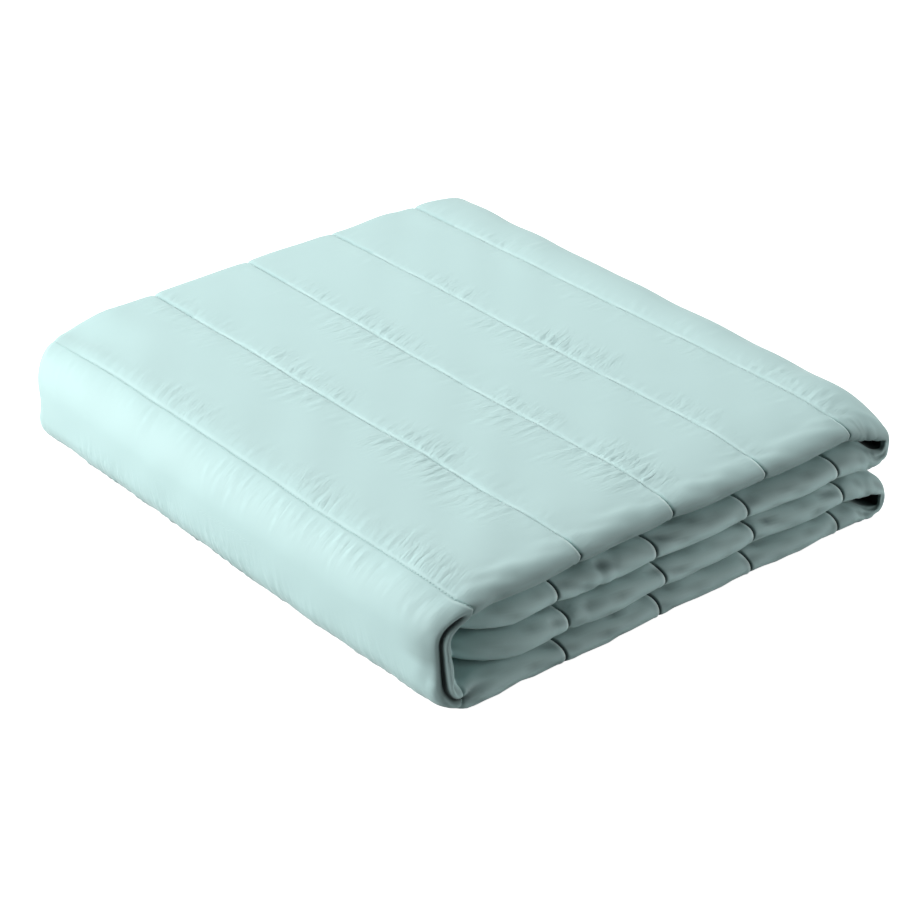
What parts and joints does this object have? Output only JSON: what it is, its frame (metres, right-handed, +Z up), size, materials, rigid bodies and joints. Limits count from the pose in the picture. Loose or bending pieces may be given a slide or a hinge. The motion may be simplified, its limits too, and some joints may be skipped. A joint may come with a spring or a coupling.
{
  "type": "folded quilted bedspread",
  "caption": "Channel-quilted bedspread folded into a neat flat stack, with rounded front folds and a loose wrap at one side.",
  "frame": {"origin": "middle of the underside, on the surface that the folded bedspread lies on", "axes": "+Y along the quilting seams from the rounded front folds to the back, +X across the seams towards the two side folds, +Z up"},
  "size_m": [0.5152, 0.5952, 0.1041],
  "materials": {
    "cloth": "smooth sateen cloth, matt with a soft sheen, pale aqua green"
  },
  "bodies": {
    "root": {"bedspread": "cloth"}
  },
  "joints": []
}
